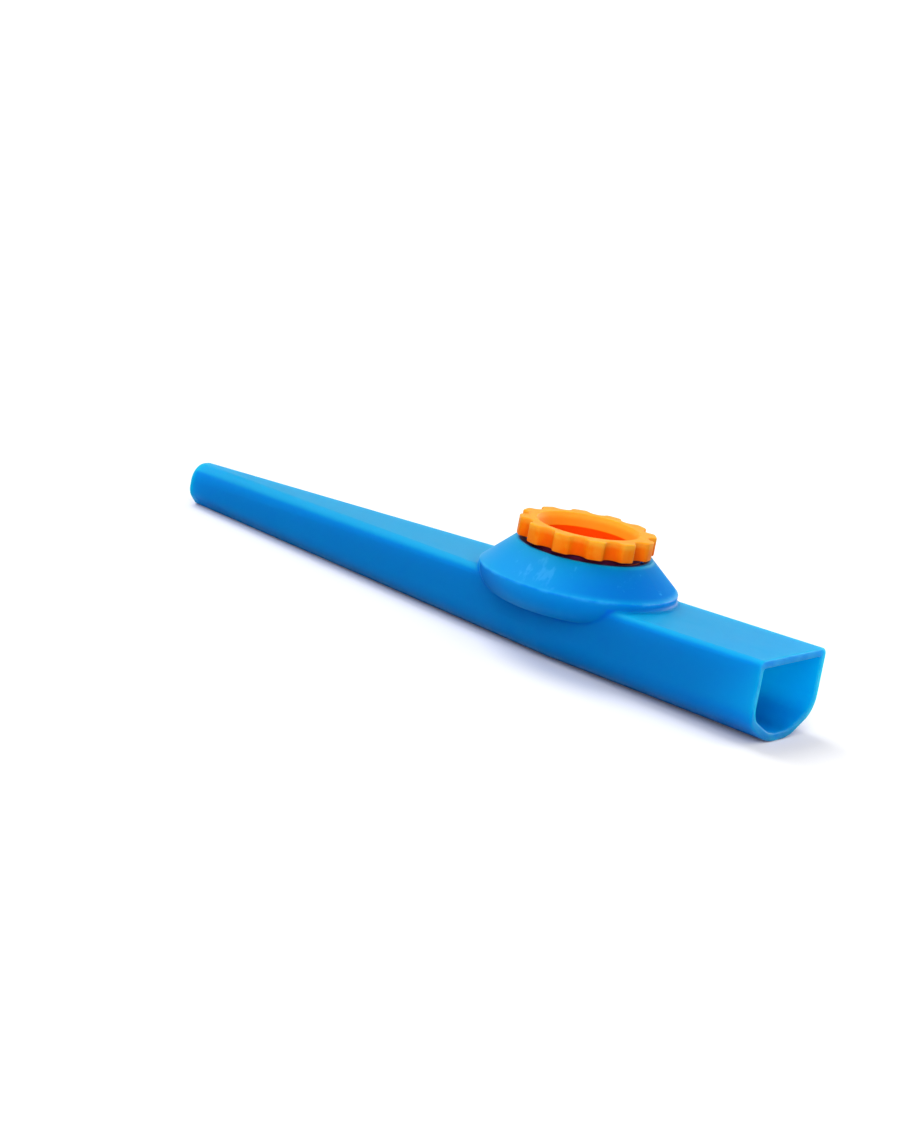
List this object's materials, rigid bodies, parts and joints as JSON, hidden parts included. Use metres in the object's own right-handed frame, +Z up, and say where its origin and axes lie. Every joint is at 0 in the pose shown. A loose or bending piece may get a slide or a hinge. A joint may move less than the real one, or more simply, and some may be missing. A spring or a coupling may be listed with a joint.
{
  "type": "kazoo",
  "caption": "Kazoo: a hollow tapered square tube with a round turret on top, and a lobed ring cap that screws into the turret and holds a thin buzzing membrane.",
  "frame": {"origin": "middle of the overall box, on the flat underside that the kazoo rests on", "axes": "+X along the tube from the mouthpiece to the bell, +Z up from the underside to the cap, Y across"},
  "size_m": [0.1206, 0.0336, 0.0228],
  "materials": {
    "blue_plastic": "smooth satin",
    "orange_plastic": "smooth satin",
    "ring_plastic": "plain",
    "film": "thin waxed film"
  },
  "bodies": {
    "body": {"kazoo_body": "blue_plastic"},
    "membrane": {"membrane_ring": "ring_plastic", "membrane_film": "film"},
    "cap": {"screw_cap": "orange_plastic"}
  },
  "joints": [
    {"name": "membrane_lift", "type": "slide", "parent": "body", "child": "membrane", "axis": [-0.0616, 0, 0.9981], "range_m": [0, 0.0042]},
    {"name": "cap_turn", "type": "hinge", "parent": "membrane", "child": "cap", "pos_m": [0.01721, 0, 0.01207], "axis": [-0.0616, 0, 0.9981], "range_deg": [0, 600]}
  ],
  "couplings": [
    {"joint": "membrane_lift", "follows": "cap_turn", "m_per_rad": 0.00039789}
  ]
}
